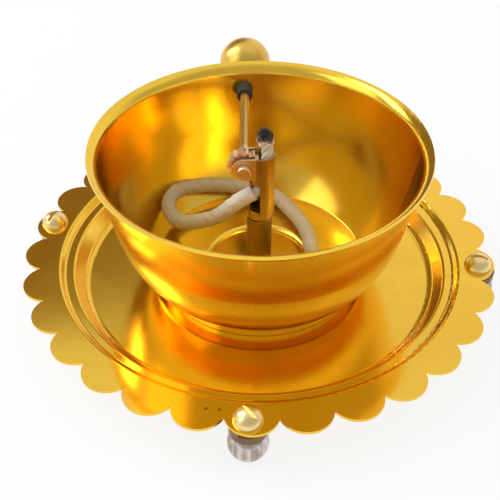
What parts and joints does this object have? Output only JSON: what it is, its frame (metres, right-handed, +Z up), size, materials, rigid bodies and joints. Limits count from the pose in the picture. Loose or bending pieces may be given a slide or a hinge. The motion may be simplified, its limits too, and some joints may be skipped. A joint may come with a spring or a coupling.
{
  "type": "butter lamp",
  "caption": "Brass oil lamp: round bowl on a scalloped tray with ball feet, and a cotton wick in a tube, raised by a star wheel that a ball knob turns.",
  "frame": {"origin": "on the table, on the bowl's axis", "axes": "+Z up along the bowl's axis, +Y towards the knob behind the bowl, +X to the right seen from the front"},
  "size_m": [0.1825, 0.1826, 0.0744],
  "materials": {
    "tray_brass": "polished, with soft smears and fine scratches",
    "bowl_brass": "spun and polished",
    "tube_brass": "drawn, a little dull",
    "wheel_brass": "reddish brass, turned and lightly polished",
    "knob_brass": "polished",
    "screw_brass": "pale, polished",
    "foot_nickel": "nickel plated, bright",
    "sleeve_rubber": "matt",
    "wick_cotton": "twisted cotton, charred at the tip"
  },
  "bodies": {
    "lamp": {"tray": "tray_brass", "bowl": "bowl_brass", "bowl_foot_ring": "bowl_brass", "centre_post": "tube_brass", "post_seal": "sleeve_rubber", "centre_washer": "screw_brass", "centre_nut": "screw_brass", "wick_tube": "tube_brass", "front_ear": "wheel_brass", "rear_ear": "wheel_brass", "wall_sleeve": "sleeve_rubber", "wick_tail": "wick_cotton", "foot_screw_1": "screw_brass", "foot_collar_1": "foot_nickel", "foot_ball_1": "foot_nickel", "foot_screw_2": "screw_brass", "foot_collar_2": "foot_nickel", "foot_ball_2": "foot_nickel", "foot_screw_3": "screw_brass", "foot_collar_3": "foot_nickel", "foot_ball_3": "foot_nickel", "foot_screw_4": "screw_brass", "foot_collar_4": "foot_nickel", "foot_ball_4": "foot_nickel"},
    "adjuster": {"star_wheel": "wheel_brass", "adjuster_shaft": "wheel_brass", "shaft_collar": "wheel_brass", "adjuster_knob": "knob_brass"},
    "wick": {"wick_head": "wick_cotton"}
  },
  "joints": [
    {"name": "adjuster_turn", "type": "hinge", "parent": "lamp", "child": "adjuster", "pos_m": [-0.0058, 0, 0.0586], "axis": [0, -0.9996, 0.0279], "range_deg": [-52, 187]},
    {"name": "wick_lift", "type": "slide", "parent": "lamp", "child": "wick", "axis": [0, 0, 1], "range_m": [-0.005, 0.018]}
  ],
  "couplings": [
    {"joint": "wick_lift", "follows": "adjuster_turn", "m_per_rad": 0.0055}
  ]
}
